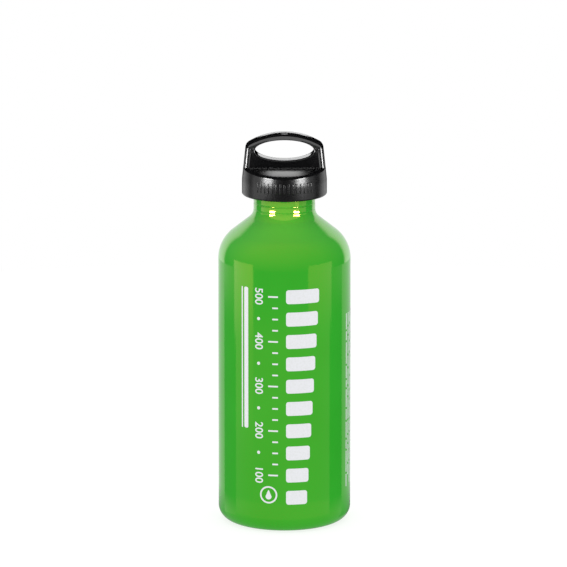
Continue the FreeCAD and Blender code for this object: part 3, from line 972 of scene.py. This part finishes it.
def makeStudio():
    s = studio
    world = bpy.data.worlds.new("paperWhiteRoom")
    bpy.context.scene.world = world
    world.use_nodes = True
    world.cycles.sampling_method = "NONE"
    tree = world.node_tree
    rays = addNode(tree, "ShaderNodeLightPath", {})
    seen = addNode(tree, "ShaderNodeMath", {0: rays.outputs["Is Camera Ray"], 1: 1 - s["roomLight"], 2: s["roomLight"]},
                   operation="MULTIPLY_ADD")
    mirrored = addNode(tree, "ShaderNodeMath", {0: rays.outputs["Is Glossy Ray"], 1: s["roomMirrored"] - s["roomLight"],
                                                2: seen.outputs["Value"]}, operation="MULTIPLY_ADD")
    backdropLight = tree.nodes["Background"]
    backdropLight.inputs["Color"].default_value = linearColour("#FFFFFF")
    tree.links.new(mirrored.outputs["Value"], backdropLight.inputs["Strength"])

    bpy.ops.object.select_all(action="DESELECT")
    bpy.ops.mesh.primitive_circle_add(vertices=96, radius=s["tableRadius"], fill_type="NGON")
    table = bpy.context.object
    table.name = "table"
    table.data.materials.append(glowMaterial("whiteTable", s["tablePaint"], s["tableGlow"])[0])

    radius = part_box("bottle_shell")[1].x
    for number, (first, last, near, far, start, end, glow, endGlow) in enumerate(s["tableCards"]):
        addCard("tableCard" + str(number + 1),
                lambda across, out: mirroredPlace(radius, first + (last - first) * across,
                                                  near + (far - near) * out, mm),
                start, end, glow, endGlow)
    for number, (first, last, reach, top, glow) in enumerate(s["uprightCards"]):
        addCard("uprightCard" + str(number + 1),
                lambda across, up: mirroredPlace(radius, first + (last - first) * across, reach, top * up),
                0, 1, glow, glow)
    start, end, glow, endGlow = s["footShade"]
    addCard("footShade", lambda across, out: ((start + (end - start) * out) * math.cos(2 * math.pi * across),
                                              (start + (end - start) * out) * math.sin(2 * math.pi * across), mm / 2),
            start, end, glow, endGlow)

    capOnly = onlyFor("onlyCap", outerCap)
    notCap = onlyFor("allButCap", outerCap)
    notCap.collection_objects[0].light_linking.link_state = "EXCLUDE"
    bottleOnly = onlyFor("onlyBottle", bottleShell)

    bpy.ops.object.select_all(action="DESELECT")
    bpy.ops.mesh.primitive_uv_sphere_add(segments=64, ring_count=32, radius=s["hoodRadius"])
    hood = bpy.context.object
    hood.name = "hood"
    bpy.ops.object.mode_set(mode="EDIT")
    bpy.ops.mesh.select_all(action="SELECT")
    bpy.ops.mesh.bisect(plane_co=(0, 0, s["hoodBottom"]), plane_no=(0, 0, 1), clear_inner=True)
    bpy.ops.object.mode_set(mode="OBJECT")
    material, tree, shader, place = glowMaterial("paleHood", "#000000", s["hoodGlow"])
    axes = addNode(tree, "ShaderNodeSeparateXYZ", {"Vector": place})
    # how the glow changes: along which axis, from where to where, and its values there
    reach = s["hoodRadius"]
    changes = {"front": ("Y", s["hoodSideFrom"], s["hoodBackFrom"][0], s["hoodGlow"], s["hoodSideGlow"]),
               "low": ("Z", s["hoodBottom"], reach, s["hoodLowShare"], 1),
               "side": ("X", -reach, reach, *s["hoodSideShares"]),
               "back": ("Y", *s["hoodBackFrom"], 0, 1),
               "behind": ("Y", s["hoodBackFall"], reach, *s["hoodBackGlow"])}
    share = {}
    for name, (axis, start, end, glow, endGlow) in changes.items():
        change = addNode(tree, "ShaderNodeMapRange", {"Value": axes.outputs[axis], "From Min": start, "From Max": end,
                                                      "To Min": glow, "To Max": endGlow})
        share[name] = change.outputs["Result"]
    shaded = addNode(tree, "ShaderNodeMath", {0: share["low"], 1: share["side"]}, operation="MULTIPLY")
    front = addNode(tree, "ShaderNodeMath", {0: share["front"], 1: shaded.outputs["Value"]}, operation="MULTIPLY")
    both = addNode(tree, "ShaderNodeMix", {"Factor": share["back"], "A": front.outputs["Value"], "B": share["behind"]})
    tree.links.new(both.outputs["Result"], shader.inputs["Emission Strength"])
    hood.data.materials.append(material)
    onlyMirrored(hood)
    hood.light_linking.receiver_collection = notCap

    rise = math.radians(s["fillElevation"])
    middle = Vector(s["fillMiddle"])
    away = Vector((0, -math.cos(rise), math.sin(rise))) * s["fillDistance"]
    fill = addLight("frontFill", middle + away, middle, s["fillSize"], s["fillRadiance"])
    fill.visible_glossy = False

    place, size, radiance = s["neckFill"]
    light = addLight("neckFill", Vector(place) * mm, Vector((0, 0, place[2])) * mm, Vector(size) * mm, radiance)
    light.visible_glossy = False
    light.light_linking.receiver_collection = bottleOnly
    for lights, receivers in ((s["capLights"], capOnly), (s["lacquerLights"], bottleOnly)):
        for name, (place, target, size, radiance) in lights.items():
            for side, end in ((-1, "Left"), (1, "Right")) if place[0] else ((1, ""),):
                turned = Vector((side, 1, 1)) * mm
                light = addLight(name + end, Vector(place) * turned, Vector(target) * turned, Vector(size) * mm,
                                 radiance)
                light.visible_diffuse = False
                light.light_linking.receiver_collection = receivers


makeStudio()
bpy.context.scene.view_settings.view_transform = "Standard"


# Camera: long lens, looking a little down, framed as the photograph

view = {
    "lens": 402.5,
    "distance": 3.4934,
    "elevation": 13.26,
    "lookedAt": (0, 0, 0.110),
    "aim": (-0.0005, 0.00515, 0.13157),
    "furthest": 20,
}


def makeCamera():
    rise = math.radians(view["elevation"])
    back = Vector((0, -math.cos(rise), math.sin(rise)))
    place = Vector(view["lookedAt"]) + back * view["distance"]
    bpy.ops.object.camera_add(location=place)
    camera = bpy.context.object
    camera.rotation_euler = (Vector(view["aim"]) - place).to_track_quat("-Z", "Y").to_euler()
    camera.data.lens = view["lens"]
    camera.data.clip_end = view["furthest"]
    bpy.context.scene.camera = camera


makeCamera()
print("studio and camera set")
